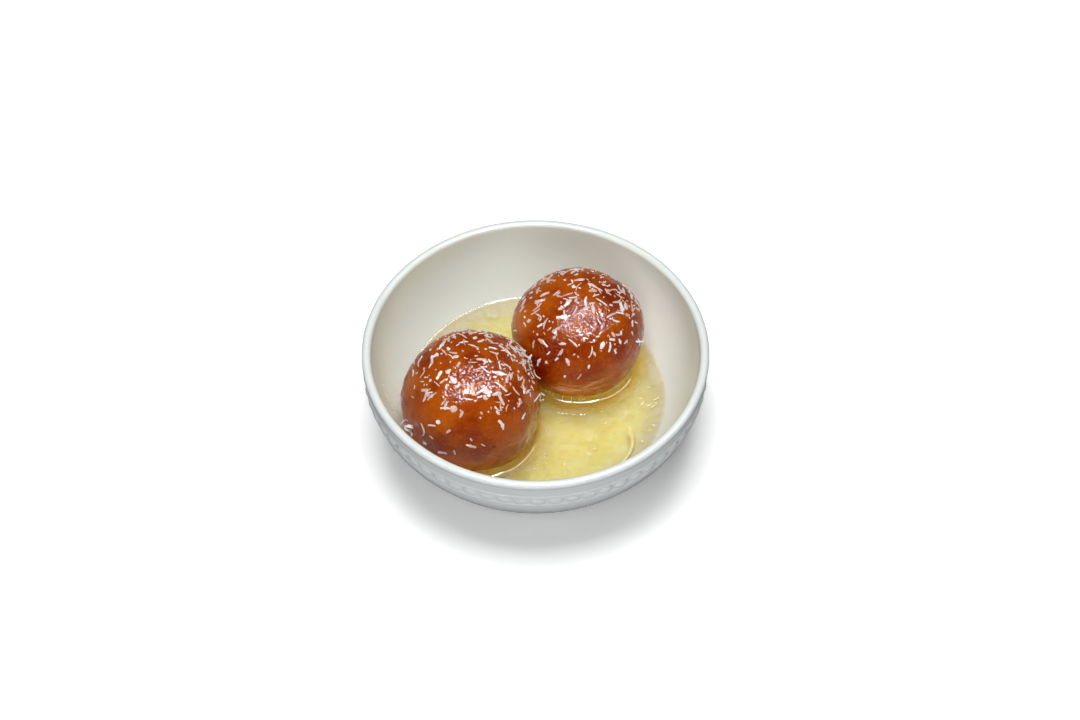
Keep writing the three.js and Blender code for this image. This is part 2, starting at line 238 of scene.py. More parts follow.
# Shreds that stand out: both ends and the width in pixels of the 1080 x 720 picture, and wetness
FRONT_SHREDS = (
    (430.6, 358.1, 438.5, 354.2, 4.7, 0), (439, 349.2, 444.4, 341.3, 3.5, 0.1),
    (430.1, 350.7, 433.6, 345.8, 3.2, 0.1), (454.3, 333.9, 451.8, 344.3, 3.8, 0.05),
    (447.4, 347.2, 451.8, 351.7, 2.6, 0.2), (452.3, 347.2, 459.3, 343.8, 1.2, 0.3),
    (462.7, 332.4, 468.7, 332.9, 3.2, 0.3), (469.6, 333.9, 476.1, 332.4, 2.8, 0.4),
    (474.1, 339.3, 478.5, 335.4, 3, 0.25), (468.2, 344.3, 476.6, 347.2, 1.4, 0.3),
    (479, 352.2, 486.9, 348.7, 2.2, 0), (488.9, 347.2, 501.8, 348.7, 3.2, 0.15),
    (490.4, 342.8, 498.3, 343.3, 1.2, 0.2), (504.7, 340.3, 511.7, 342.3, 1.4, 0.1),
    (503.7, 344.8, 513.6, 348.2, 2, 0.1), (511.7, 347.7, 521.5, 354.7, 3.8, 0),
    (505.7, 348.7, 511.7, 355.6, 3, 0.1), (522.5, 350.7, 530.4, 357.6, 3.4, 0),
    (531.9, 354.7, 530.9, 364.5, 2, 0.05), (515.6, 346.3, 523.5, 349.7, 2.4, 0.1),
    (480, 362.1, 485, 360.1, 3.6, 0.1), (488.4, 359.1, 492.9, 365, 2, 0.15),
    (498.8, 361.6, 500.8, 369.5, 2, 0.1), (498.8, 361.1, 504.7, 365.5, 1.4, 0.1),
    (503.7, 363.6, 510.2, 368.5, 1.2, 0.4), (492.4, 372, 507.2, 374.9, 3.4, 0),
    (490.4, 370.5, 489.4, 380.4, 1.2, 0), (441.5, 371, 436.5, 379.4, 3, 0.1),
    (431.6, 375.4, 429.8, 381.8, 2.8, 0), (444.9, 374.4, 450.4, 369.5, 3.2, 0.6),
    (450.4, 376.4, 456.3, 382.8, 3, 0.45), (519.6, 380.4, 527, 375.9, 2, 0),
    (528, 374.4, 533.4, 372, 2.6, 0), (534.4, 370, 540.3, 378.4, 1.4, 0.1),
    (530.9, 385.3, 533.4, 390.2, 1.8, 0), (540.3, 400.6, 544.8, 395.2, 1.8, 0),
    (425.2, 394.7, 432.6, 392.2, 1.6, 0.1), (459.8, 390.2, 459.8, 399.1, 1.5, 0.1),
    (458.3, 398.9, 463.2, 398.7, 1.4, 0.1), (463.2, 397.7, 472.6, 399.6, 1.2, 0.4),
    (476.6, 393.2, 486.9, 386.8, 2, 0.05), (484, 389.3, 492.9, 394.2, 4, 0.5),
    (493.9, 394.7, 501.3, 393.2, 2.4, 0.7), (484, 396.2, 489.9, 398.7, 1.4, 0.1),
    (490.9, 400.6, 499.8, 411, 1.4, 0.1), (500.3, 403.1, 501.3, 411, 1.2, 0.7),
    (496.3, 410.5, 500.3, 415, 1.8, 0.4), (441.5, 405.1, 445.4, 400.6, 1.2, 0.5),
    (444.9, 407.6, 448.4, 401.1, 1.6, 0.4), (450.4, 410, 456.8, 407.6, 4.2, 0.8),
    (459.8, 417.4, 462.7, 411, 2.2, 0.8), (476.1, 419.9, 481, 417.4, 2, 0),
    (522.5, 419.4, 525.5, 413, 2.4, 0.1), (498.3, 420.4, 503.3, 429.8, 2.4, 0.3),
    (436, 422.9, 440, 421.4, 3.6, 0), (428.1, 425.3, 437, 426.8, 1.6, 0.3),
    (422.2, 425.8, 423.7, 435.2, 1.4, 0.3), (429.6, 435.7, 437.5, 442.6, 1.5, 0.05),
    (423.2, 443.1, 426.1, 443.1, 3, 0.2), (438.5, 452.5, 446.9, 453.5, 2.4, 0.7),
    (453.8, 450.1, 455.3, 455.5, 1.2, 0.5), (466.2, 445.1, 476.1, 447.6, 2.4, 0.7),
    (470.1, 438.2, 472.6, 442.2, 1.4, 0.6), (481, 444.1, 485, 446.1, 1.2, 0.6),
    (446.4, 432.8, 450.4, 429.8, 2.2, 0.8), (464.2, 393.2, 468.7, 390.2, 4, 0.6),
    (517.1, 372.5, 518.6, 380.4, 1, 0.5), (518.6, 363.1, 525.5, 364.1, 1.4, 0.5),
    (484, 333.9, 487.9, 335.9, 1.4, 0.4), (435.5, 341.8, 438.5, 338.8, 2.6, 0.4),
    (510, 346.5, 516, 349, 3.6, 0), (513.4, 349.4, 520.6, 356, 4, 0),
    (521.5, 348, 525.5, 350.5, 2.2, 0), (526.6, 349.5, 525.8, 355.5, 1.3, 0),
    (528, 357.5, 528.8, 364, 1, 0.1), (523.4, 359.2, 525.6, 364.2, 1, 0.1),
    (524.8, 362.8, 528, 361.2, 1.7, 0), (529, 364.6, 532.2, 364.4, 1, 0),
    (531.2, 364, 534.2, 371, 1.5, 0.1), (520.6, 361.5, 523.2, 361.5, 0.9, 0),
    (532, 378.6, 534.6, 377, 1.2, 0), (529.4, 379.8, 529.5, 382.2, 0.9, 0),
    (509, 372.4, 510.2, 373.2, 1.4, 0), (524.8, 368.6, 525.8, 369.4, 1.3, 0),
    (512, 339.4, 514.2, 338.4, 1.6, 0), (501, 350.4, 505.4, 350.8, 1.6, 0.1),
    (403.2, 427, 412, 427.8, 4, 0), (404.8, 429.4, 411.8, 434.8, 6, 0),
    (540.2, 396, 545.6, 399.6, 1.2, 0), (541.6, 393.6, 542.6, 401.6, 0.9, 0),
    (412.2, 424.8, 411.4, 436.6, 1.1, 0), (400.4, 424, 404, 421.4, 0.9, 0),
    (404, 421.4, 408, 420.9, 0.9, 0), (422.4, 435.6, 424.6, 430.4, 1, 0.1),
    (424.6, 430.4, 421, 423.4, 0.9, 0.5), (423.8, 441.2, 425.2, 446, 2, 0),
    (428.2, 424.8, 431.4, 424.8, 1.4, 0), (420.4, 381.4, 424, 381.4, 1, 0.1),
    (424.4, 383.6, 424.3, 386, 0.9, 0), (411.6, 396.2, 416.6, 399.6, 0.8, 0.1),
)
BACK_SHREDS = (
    (520.7, 312.4, 525.4, 318, 3.7, 0), (535.1, 302.2, 539.7, 302.2, 3.9, 0.7),
    (513.3, 331.6, 517, 331.2, 1.4, 0), (529.5, 293.5, 534.6, 290.7, 1.9, 0.4),
    (540.2, 296.7, 549.4, 292.5, 2, 0.7), (548.5, 277.7, 552.2, 274.5, 2.2, 0.2),
    (548.5, 280, 555.4, 280.5, 1.5, 0.6), (563.3, 280, 568.8, 277.7, 2, 0.1),
    (571.6, 273.6, 575.3, 270.8, 2.4, 0.4), (575.8, 273.6, 578.1, 269.9, 1.5, 0.1),
    (558.5, 268.6, 564.6, 271.2, 1.9, 0.3), (588.7, 270.8, 593.8, 271.7, 1.9, 0.3),
    (586.4, 278.7, 591.5, 281.4, 1.3, 0.2), (571.1, 286.1, 575.8, 287.4, 3.3, 0.4),
    (577.2, 287.4, 580.9, 288.4, 2, 0.2), (571.6, 289.8, 576.2, 294.4, 1.5, 0.1),
    (588.7, 284.2, 592.4, 289.8, 1.7, 0.2), (593.8, 285.1, 601.2, 293.5, 1.3, 0.8),
    (596.1, 298.5, 606.8, 305.5, 1.3, 0.4), (584.6, 304.6, 586.9, 300.4, 1.5, 0.1),
    (564.2, 297.6, 577.2, 296.7, 1.7, 0.2), (564.2, 306.4, 570.7, 299.5, 2.8, 0.2),
    (561.4, 305.5, 564.2, 308.3, 1.3, 0.1), (556.3, 317.5, 567, 318, 3.5, 0),
    (537.4, 326.8, 549.4, 323.1, 3.1, 0.2), (552.6, 330.5, 556.8, 331.8, 3.9, 0.1),
    (600.7, 313.8, 607.7, 315.2, 3.1, 0.05), (620.2, 302.7, 622.5, 312.9, 4.1, 0),
    (616, 312.4, 624.3, 313.8, 2, 0), (627.1, 302.7, 626.6, 309.2, 2, 0),
    (633.1, 305.5, 637.7, 306.4, 1.7, 0.1), (632.2, 313.6, 634.7, 314.3, 2.6, 0.1),
    (603.1, 281.9, 609.5, 283.7, 3.1, 0.05), (601.7, 284.7, 610, 285.9, 1.3, 0.1),
    (619.7, 289.8, 625.3, 293.9, 1.9, 0.7), (632.7, 320.3, 632.7, 326.8, 2.3, 0.1),
    (621.1, 330.5, 619.7, 338.8, 2.2, 0.05), (619.2, 338.8, 621.1, 343.9, 2.2, 0.3),
    (604, 341.6, 600.7, 349, 3.3, 0.1), (610, 342, 608.6, 352.2, 2.2, 0.1),
    (614.2, 349.4, 616, 353.6, 2.2, 0), (611.4, 333.7, 609.1, 337.9, 1.1, 0.2),
    (601.2, 326.8, 603.1, 330.9, 1.3, 0.4), (635.4, 340.6, 643.3, 341.6, 1.5, 0),
    (637.6, 338.4, 639.4, 345.6, 1.2, 0), (592, 346.2, 588.7, 357.7, 1.5, 0),
    (589.6, 364.7, 588.7, 368.8, 2, 0.1), (565.6, 358.2, 568.8, 365.6, 2, 0.6),
    (554, 361.4, 558.2, 357.7, 1.9, 0.3), (545.2, 362.8, 549.9, 361.4, 2.6, 0.05),
    (540.6, 358.7, 537.4, 366.1, 2.3, 0.1), (564.2, 377.6, 566.1, 374.4, 2, 0.3),
    (577.2, 379, 581.3, 373.9, 0.9, 0.7), (533.2, 348, 534.6, 340.6, 1.3, 0.8),
    (546.6, 354.5, 549.9, 351.3, 1.3, 0.1), (613.2, 302.7, 621.6, 298.1, 0.9, 0.6),
    (574.8, 333.2, 581.8, 335.1, 1.9, 0.2), (586.4, 333.2, 591, 332.8, 1.5, 0.1),
    (613.2, 277.7, 616.9, 281.4, 1.3, 0.3), (535.5, 313.8, 541.5, 318, 1.1, 0.6),
    (553.1, 338.8, 555.4, 336, 1.7, 0.7), (631.7, 331.4, 633.1, 336, 1.1, 0.4),
)
WALL_SHREDS = (
    (380.3, 385.9, 384.1, 384.4, 1.6, 0), (385.2, 393, 388.4, 400.6, 7.5, 0),
    (388.5, 404.2, 392.5, 406, 3.6, 0), (392.2, 408, 398, 410.5, 1.8, 0),
    (394.2, 411, 397.4, 416.6, 3.4, 0), (395.3, 385.4, 401.4, 383.6, 3.4, 0),
    (396.6, 400.6, 399.8, 395.8, 6, 0),
)
# Patches of the sweets' skin: pixels of the picture, radius in metres and strength
# Dark patches of skin, partly painted shade: in the crevice where the sweets meet and on the back sweet's
# right side
DARK_SPOTS_AND_SHADE = (
    (545, 322, 0.007, 0.6), (620, 292, 0.008, 0.8), (636, 328, 0.008, 0.6), (612, 296, 0.0085, 0.9),
    (548, 348, 0.0095, 0.8), (538, 368, 0.010, 1), (585, 352, 0.008, 0.5), (425, 440, 0.008, 0.5),
    (470, 450, 0.009, 0.4), (616, 350, 0.008, 0.6), (592, 372, 0.008, 0.6), (563, 372, 0.007, 0.4),
    (486, 424, 0.013, 0.3), (470, 346, 0.007, 0.3),
)
# Paler patches of skin, most of them painted light on the sweets' left sides
PALE_SPOTS_AND_LIGHT = (
    (519, 322, 0.009, 1), (545, 284, 0.008, 0.5), (545, 306, 0.006, 0.3), (440, 415, 0.009, 0.5),
    (484, 410, 0.009, 0.1), (412, 382, 0.008, 0.6), (580, 388, 0.006, 0.3),
)
WRINKLED_SPOTS = (
    (582, 320, 0.012, 1), (604, 316, 0.008, 0.8), (456, 392, 0.008, 0.7), (576, 300, 0.008, 0.9),
    (554, 352, 0.010, 1), (466, 370, 0.011, 1), (486, 376, 0.011, 1), (500, 352, 0.009, 0.6),
    (436, 352, 0.008, 0.5), (528, 300, 0.007, 0.4),
)
WAVY_SPOTS = (
    (506, 446, 0.013, 1), (486, 462, 0.012, 0.9), (522, 412, 0.012, 0.8), (632, 340, 0.010, 0.7),
    (600, 384, 0.010, 0.6), (516, 330, 0.009, 0.8), (408, 390, 0.009, 0.6), (440, 438, 0.012, 0.6),
    (555, 385, 0.010, 0.5),
)
SPOT_CORE = 0.2

# How shreds are torn, thick and laid: one lift is drawn of the list, and the spreads are factors
SHRED_THICKNESS = 0.00036
THICKNESS_SPREAD = (0.8, 1.3)
WIDTH_SPREAD = (0.6, 1.3)
SHRED_TAPER = (0.45, 0.55)
BLUNT_ENDS = (0.08, 0.92)
SHRED_STATIONS = 6
SHRED_LIFTS = (0, 0, 0.0003, 0.0006)
SHRED_BOW = 0.12
SHRED_REST = 0.35
SHRED_SOAK = 0.5
PIXELS_PER_METRE = 2960
SHRED_FULLNESS = 1.6
WALL_SEED = 3
FRONT_SPRINKLE = dict(count=130, crumbs=110, lean=(0.16, 0.25), spread=1.1)
BACK_SPRINKLE = dict(count=120, crumbs=110, lean=(0.12, 0.1), spread=1.15)
SPRINKLED_SHRED = dict(length=(0.0015, 0.0042), width=(0.0004, 0.0014))
SPRINKLED_CRUMB = dict(length=(0.0005, 0.0011), width=(0.0004, 0.0009))
SPRINKLE_WETNESS = 0.7
SPRINKLE_CLEARANCE = 0.0036
NEIGHBOUR_CLEARANCE = 0.0008

# In the syrup: a strand of saffron, bubbles and flecks, by pixels of the picture and metres
STRAND = ((628, 428), (630.6, 434), (632.6, 441), (631.2, 449), (627.2, 456), (621, 463))
STRAND_WIDTH = (0.0017, 0.0005)
STRAND_TIP = 0.06
STRAND_DEPTH = 0.0004
STRAND_THICKNESS = 0.00024
STRAND_STATIONS = 34
BUBBLES = (
    (567, 398.6, 0.0016), (546, 391, 0.0003), (549.5, 392.6, 0.0004), (553, 394.6, 0.0003),
    (580.5, 399.8, 0.0006), (584, 398.4, 0.0004), (639, 381.5, 0.0003), (655.5, 403, 0.0004),
    (660.5, 402.5, 0.0003), (650, 430, 0.0005), (634.5, 425.5, 0.0003), (545.5, 445, 0.0003),
)
BUBBLE_THICKNESS = 0.0042
BUBBLE_SIDES = 28
TUBE_SIDES = 10
# Flecks: RIGHT_SIDE is a range of angles, and FLECK_PLACE of shares of the syrup's area
FLECK_COUNT = 45
FLECK_SEED = 41
FLECKS_AT_RIGHT = 0.7
RIGHT_SIDE = (-1.9, 1.1)
FLECK_PLACE = (0.35, 1.0)
FLECK_MARGIN = 0.0006
FLECK_CLEARANCE = 0.0014
FLECK_DEPTH = (0.0004, 0.0014)
FLECK_LENGTH = (0.0006, 0.0026)
FLECK_WIDTH = (0.0002, 0.0007)
FLECK_TILT = (-0.1, 0.1)
FLECK_THICKNESS = 0.00018


# ---------------- camera, light and floor


def make_camera():
    data = bpy.data.cameras.new("camera")
    data.lens = CAMERA_LENS
    data.sensor_width = CAMERA_SENSOR
    data.clip_start = CAMERA_NEAR
    camera = bpy.data.objects.new("camera", data)
    camera.location = CAMERA_PLACE
    camera.rotation_euler = CAMERA_TURN
    bpy.context.scene.collection.objects.link(camera)
    bpy.context.scene.camera = camera


def make_light(name, place, size, along, power, lights_up):
    """A rectangular area light that faces the food, its length as near as can be to a direction."""
    data = bpy.data.lights.new(name, "AREA")
    data.shape = "RECTANGLE"
    data.size, data.size_y = size
    data.energy = power
    light = bpy.data.objects.new(name, data)
    back = (Vector(place) - Vector(LIGHT_TARGET)).normalized()
    across = back.cross(Vector(along)).normalized()
    light.location = place
    light.rotation_euler = Matrix((across.cross(back), across, back)).transposed().to_euler()
    light.visible_glossy = lights_up != "rest"
    light.visible_diffuse = lights_up != "gloss"
    bpy.context.scene.collection.objects.link(light)


def make_world():
    """A dim room, pale where the camera sees it."""
    world = bpy.data.worlds.new("world")
    world.use_nodes = True
    tree = world.node_tree
    background = tree.nodes["Background"]
    background.inputs["Color"].default_value = (*ROOM_COLOUR, 1)
    path = tree.nodes.new("ShaderNodeLightPath")
    strength = tree.nodes.new("ShaderNodeMapRange")
    strength.inputs["To Min"].default_value = ROOM_STRENGTH
    strength.inputs["To Max"].default_value = ROOM_SEEN_STRENGTH
    tree.links.new(path.outputs["Is Camera Ray"], strength.inputs["Value"])
    tree.links.new(strength.outputs["Result"], background.inputs["Strength"])
    bpy.context.scene.world = world


# ---------------- materials


class Shader:
    """A material's node tree, built node by node."""

    def __init__(self, name):
        self.material = bpy.data.materials.new(name)
        self.material.use_nodes = True
        self.tree = self.material.node_tree
        self.tree.nodes.clear()
        self.out = self.tree.nodes.new("ShaderNodeOutputMaterial")

    def node(self, kind, inputs=None, **settings):
        made = self.tree.nodes.new("ShaderNode" + kind)
        for name, value in settings.items():
            setattr(made, name, value)
        for socket, value in (inputs or {}).items():
            self.feed(made.inputs[socket], value)
        return made

    def feed(self, socket, value):
        if isinstance(value, bpy.types.NodeSocket):
            self.tree.links.new(value, socket)
        else:
            socket.default_value = value

    def place(self):
        return self.node("TexCoord").outputs["Object"]

    def outward(self):
        """How far the surface looks away from the middle axis, below 0 inside a bowl."""
        normal = self.node("TexCoord").outputs["Normal"]
        level = self.node("VectorMath", {0: normal, 1: (1, 1, 0)}, operation="MULTIPLY").outputs[0]
        along = self.node("VectorMath", {0: level, 1: self.place()}, operation="DOT_PRODUCT")
        return along.outputs["Value"]

    def away_from(self, place):
        return self.node("VectorMath", {0: self.place(), 1: place}, operation="DISTANCE").outputs["Value"]

    def wetness(self):
        return self.node("Attribute", attribute_name="wet", attribute_type="GEOMETRY").outputs["Fac"]

    def noise(self, size, detail=2.0, stretch=(1, 1, 1)):
        spot = self.node("Mapping", {"Vector": self.place(), "Scale": stretch}).outputs[0]
        made = self.node("TexNoise", {"Vector": spot, "Scale": 1 / size, "Detail": detail})
        return made.outputs["Fac"]

    def remap(self, value, low, high, to_low=0.0, to_high=1.0):
        inputs = {"Value": value, "From Min": low, "From Max": high, "To Min": to_low, "To Max": to_high}
        return self.node("MapRange", inputs, interpolation_type="SMOOTHSTEP").outputs["Result"]

    def mix(self, share, first, second):
        """Mixes two colours, by inputs 6 and 7 and output 2 of a Mix node."""
        return self.node("Mix", {"Factor": share, 6: first, 7: second}, data_type="RGBA").outputs[2]

    def maths(self, operation, first, second):
        return self.node("Math", {0: first, 1: second}, operation=operation).outputs[0]

    def bump(self, height, distance, strength, normal=None):
        inputs = {"Height": height, "Distance": distance, "Strength": strength}
        if normal is not None:
            inputs["Normal"] = normal
        return self.node("Bump", inputs).outputs[0]

    def height(self):
        return self.node("SeparateXYZ", {"Vector": self.place()}).outputs["Z"]

    def spots(self, places):
        """Soft round patches about some places, each with its radius and strength."""
        share = 0.0
        for place, radius, strength in places:
            soft = self.remap(self.away_from(place), radius, SPOT_CORE * radius, 0.0, strength)
            share = self.maths("MAXIMUM", soft, share)
        return share

    def principled(self, colour, roughness, more=None):
        inputs = {"Base Color": colour, "Roughness": roughness, **(more or {})}
        return self.node("BsdfPrincipled", inputs).outputs[0]

    def finish(self, surface):
        self.tree.links.new(surface, self.out.inputs["Surface"])
        return self.material


def porcelain():
    """White glaze, with a painted warm tint of light inside the bowl and painted shade where the syrup gets
    shallow, dull under the syrup and bare on the foot's edge.
    """
    s = Shader("porcelain")
    inside = s.remap(s.outward(), *INWARD)
    sunk = s.maths("MULTIPLY", inside, s.remap(s.height(), *SUNK_GLAZE))
    # painted shade on the glaze where the syrup gets shallow
    painted_shade = s.maths("MULTIPLY", sunk, s.remap(s.height(), *PAINTED_SHADE_HEIGHTS))
    bare = s.remap(s.height(), *BARE_FOOT)
    colour = s.mix(s.noise(size=0.012, detail=3), *GLAZE)
    # painted tint of the warm light inside the bowl
    colour = s.mix(inside, colour, GLAZE_INSIDE_PAINTED_LIGHT)
    colour = s.mix(painted_shade, colour, GLAZE_PAINTED_SHADE_IN_SHALLOWS)
    colour = s.mix(bare, colour, BARE_CLAY)
    roughness = s.remap(bare, 0, 1, to_low=0.16, to_high=0.6)
    more = {
        "Specular IOR Level": s.remap(sunk, 0, 1, to_low=0.5, to_high=0.0),
        "IOR": 1.52,
        "Normal": s.bump(s.noise(size=0.006), distance=0.00006, strength=0.6),
    }
    return s.finish(s.principled(colour, roughness, more))


def fried_dough(dark_spots_and_shade, pale_spots_and_light, wrinkled_spots, wavy_spots):
    """Orange-brown dough in patches, some of them painted light and shade, with a painted reflection near
    the syrup and a wet coat over soft, wavy and wrinkled skin.
    """
    s = Shader("fried_milk_dough")
    patches = s.remap(s.noise(size=0.007, detail=3), 0.38, 0.66, to_high=0.85)
    grain = s.remap(s.noise(size=0.0008, detail=3), 0.5, 0.78, to_high=0.35)
    # painted reflection of the syrup and wall on the dough's low band near the syrup
    painted_reflection = s.maths("MULTIPLY", s.remap(s.height(), *PAINTED_REFLECTION_HEIGHTS), PAINTED_REFLECTION_SHARE)
    colour = s.mix(patches, *DOUGH)
    # dark patches, partly painted shade in the crevice and on the back sweet's right side
    colour = s.mix(s.spots(dark_spots_and_shade), colour, DARK_DOUGH_AND_SHADE)
    # paler patches, most of them painted light on the sweets' left sides
    colour = s.mix(s.spots(pale_spots_and_light), colour, PALE_DOUGH_AND_LIGHT)
    colour = s.mix(grain, colour, DOUGH_GRAIN)
    colour = s.mix(painted_reflection, colour, DOUGH_PAINTED_REFLECTION)
    soft = s.bump(s.noise(size=0.0030, detail=1), distance=0.00035, strength=0.7)
    waves = s.noise(size=0.0011, stretch=(0.35, 0.35, 1))
    waviness = s.maths("ADD", s.spots(wavy_spots), PLAIN_WAVES)
    wavy = s.bump(waves, distance=0.0007, strength=waviness, normal=soft)
    folds = s.noise(size=0.0009, detail=1, stretch=(1, 0.8, 1))
    foldedness = s.maths("ADD", s.spots(wrinkled_spots), PLAIN_WRINKLES)
    wrinkled = s.bump(folds, distance=0.0007, strength=foldedness, normal=wavy)
    more = {
        "Specular IOR Level": 0.0,
        "Subsurface Weight": 0.30,
        "Subsurface Radius": (0.0022, 0.0006, 0.0002),
        "Subsurface Scale": 1.0,
        "Coat Weight": 1.0,
        "Coat Roughness": 0.03,
        "Coat IOR": 1.45,
        "Normal": wrinkled,
        "Coat Normal": wrinkled,
    }
    return s.finish(s.principled(colour, roughness=0.55, more=more))


def sugar_syrup():
    """Golden glass with streaks and a painted glow of golden light near the balls, that lets light through
    unbent.
    """
    s = Shader("sugar_syrup")
    clouds = s.remap(s.noise(size=0.0040, stretch=(0.6, 1, 1)), 0.38, 0.66, to_high=0.5)
    dashes = s.remap(s.noise(size=0.0016, stretch=(0.35, 1, 1)), 0.50, 0.68, to_high=0.75)
    near = 0.0
    for ball in BALLS:
        away = s.away_from((*ball["centre"], SYRUP_LEVEL))
        close = s.remap(away, *(ball["radius"] + reach for reach in BALL_GLOW_REACH))
        near = s.maths("MAXIMUM", close, near)
    colour = s.mix(s.maths("MAXIMUM", clouds, dashes), *SYRUP)
    # painted glow of golden light bounced from the balls, with less clear syrup there
    colour = s.mix(s.maths("MULTIPLY", near, BALL_GLOW_STRENGTH), colour, SYRUP_PAINTED_GLOW)
    clarity = s.remap(s.noise(size=0.0045), 0.40, 0.66, to_low=0.92, to_high=0.84)
    clarity = s.maths("SUBTRACT", clarity, s.maths("MULTIPLY", near, BALL_GLOW_CLOUDINESS))
    more = {
        "IOR": 1.40,
        "Transmission Weight": clarity,
        "Normal": s.bump(s.noise(size=0.006), distance=0.00012, strength=0.5),
    }
    glass = s.principled(colour, roughness=0.0, more=more)
    clear = s.node("BsdfTransparent", {"Color": (1, 1, 1, 1)}).outputs[0]
    path = s.node("LightPath").outputs
    light = s.maths("MAXIMUM", path["Is Shadow Ray"], path["Is Diffuse Ray"])
    tint = s.node("VolumeAbsorption", {"Color": SYRUP_TINT, "Density": 76.0})
    s.tree.links.new(tint.outputs[0], s.out.inputs["Volume"])
    return s.finish(s.node("MixShader", {0: light, 1: glass, 2: clear}).outputs[0])


def coconut():
    s = Shader("coconut")
    fibre = s.noise(size=0.0006)
    colour = s.mix(s.wetness(), s.mix(fibre, *DRY_COCONUT), s.mix(fibre, *WET_COCONUT))
    more = {
        "Subsurface Weight": 0.4,
        "Subsurface Radius": (0.0010, 0.0008, 0.0007),
        "Subsurface Scale": 1.0,
        "Normal": s.bump(fibre, distance=0.00006, strength=0.6),
    }
    return s.finish(s.principled(colour, roughness=0.35, more=more))


def soaked_coconut():
    s = Shader("soaked_coconut")
    grain = s.bump(s.noise(size=0.0005), distance=0.00005, strength=0.5)
    colour = s.mix(s.wetness(), *SUNK_COCONUT)
    return s.finish(s.principled(colour, roughness=0.5, more={"Normal": grain}))


def saffron():
    s = Shader("saffron")
    streaks = s.noise(size=0.0004, stretch=(1, 0.2, 1))
    return s.finish(s.principled(s.mix(streaks, *SAFFRON), roughness=0.5))


# The rim's pale gold is partly a painted highlight
def bubble_rim_highlight():
    s = Shader("bubble_rim_highlight")
    return s.finish(s.principled(BUBBLE_RIM_HIGHLIGHT, roughness=0.08, more={"IOR": 1.40}))


def pale_floor():
    """White paper that is over-exposed in the picture but throws back only as much light as paper."""
    s = Shader("pale_floor")
    seen = s.node("BsdfDiffuse", {"Color": s.mix(s.noise(size=0.02), *FLOOR_SEEN)}).outputs[0]
    lit = s.node("BsdfDiffuse", {"Color": FLOOR_LIT}).outputs[0]
    camera = s.node("LightPath").outputs["Is Camera Ray"]
    return s.finish(s.node("MixShader", {0: camera, 1: lit, 2: seen}).outputs[0])


# ---------------- mesh helpers


def make_piece(name, points, faces, material=None, smooth=True):
    mesh = bpy.data.meshes.new(name)
    mesh.from_pydata([tuple(p) for p in points], [], faces)
    mesh.validate()
    mesh.shade_smooth() if smooth else mesh.shade_flat()
    if material:
        mesh.materials.append(material)
    made = bpy.data.objects.new(name, mesh)
    bpy.context.scene.collection.objects.link(made)
    return made


def skin(rings):
    """Joins rings of points to one closed surface.

    Next to each other, one ring's count divides the other's.
    """
    starts = np.cumsum([0] + [len(r) for r in rings])
    faces = []
    for ring, following, start, after in zip(rings, rings[1:], starts, starts[1:]):
        few, many = len(ring), len(following)
        if few == 1 or many == 1:
            steps = max(few, many)
            pole, base = (start, after) if few == 1 else (after, start)
            for i in range(steps):
                edge = (base + i, base + (i + 1) % steps)
                faces.append((pole, *edge) if few == 1 else (pole, *edge[::-1]))
            continue
        coarse = min(few, many)
        for i in range(coarse):
            lower = [start + (i * (few // coarse) + k) % few for k in range(few // coarse + 1)]
            upper = [after + (i * (many // coarse) + k) % many for k in range(many // coarse + 1)]
            faces.append((*lower[::-1], *upper))
    return np.concatenate(rings), faces


def turned_ring(radius, height, sides):
    """A level ring of points round the Z axis, with one radius or one for each point."""
    around = np.arange(sides) * TURN / sides
    radius = np.broadcast_to(radius, around.shape)
    return np.stack([radius * np.sin(around), -radius * np.cos(around), np.full(sides, height)], 1)


def smoothstep(value, low, high):
    share = np.clip((value - low) / (high - low), 0, 1)
    return share * share * (3 - 2 * share)


def rippled(points, size, seed):
    """Smooth noise from -1 to 1 at each point, with bumps of that size."""
    shift = Vector([seed * part for part in NOISE_SHIFT])
    return np.array([noise.noise(Vector(p) / size + shift) for p in points])


# ---------------- bowl


def bezier(curve, share):
    share = np.asarray(share)[:, None]
    back = 1 - share
    weights = (back**3, 3 * back**2 * share, 3 * back * share**2, share**3)
    return sum(weight * point for weight, point in zip(weights, curve))


INSIDE_POINTS = bezier(INSIDE_CURVE, np.linspace(1, 0, INSIDE_STEPS))


def inside_radius(height):
    """The bowl's inner radius at each height."""
    return np.interp(height, INSIDE_POINTS[:, 1], INSIDE_POINTS[:, 0])


def outside_radius(drop):
    """The bowl's outer radius at each drop below the rim, without its beads."""
    share = np.clip((drop - WALL_START_DROP) / WALL_REACH, 0, 1)
    wall = (BOWL_RADIUS - WALL_INSET) * (1 - share**WALL_POWER) ** (1 / WALL_POWER)
    channel = smoothstep(drop, UPPER_LINE_DROP, UPPER_LINE_DROP + CHANNEL_STEP)
    inset = BAND_INSET * smoothstep(drop, LIP_RADIUS, BAND_START) + (CHANNEL_INSET - BAND_INSET) * channel
    radius = np.where(drop > WALL_START_DROP, wall, BOWL_RADIUS - inset)
    for line in (UPPER_LINE_DROP, LOWER_LINE_DROP):
        radius = radius + LINE_RISE * np.exp(-(((drop - line) / LINE_WIDTH) ** 2))
    return radius


def bead_ring(drop):
    """One ring of the beaded band: the channel, or the bead where it stands further out."""
    around = np.arange(BEAD_SIDES) * TURN / BEAD_SIDES
    pitch = TURN / BEAD_COUNT
    aside = (((around - BEAD_START) / pitch + 0.5) % 1 - 0.5) * pitch * BOWL_RADIUS
    middle = (UPPER_LINE_DROP + LOWER_LINE_DROP) / 2
    flat = (aside / BEAD_HALF_WIDTH) ** 2 + ((drop - middle) / BEAD_HALF_HEIGHT) ** 2
    bead = BEAD_RISE * np.sqrt(np.clip(1 - flat, 0, None))
    bead = np.where(flat < 1, bead, -BEAD_RISE * (flat - 1))
    soft = np.sqrt(bead**2 + BEAD_BLEND**2)
    radius = outside_radius(np.array(drop)) + (bead + soft) / 2 - BEAD_BLEND / 2
    return turned_ring(radius, BOWL_HEIGHT - drop, BEAD_SIDES)


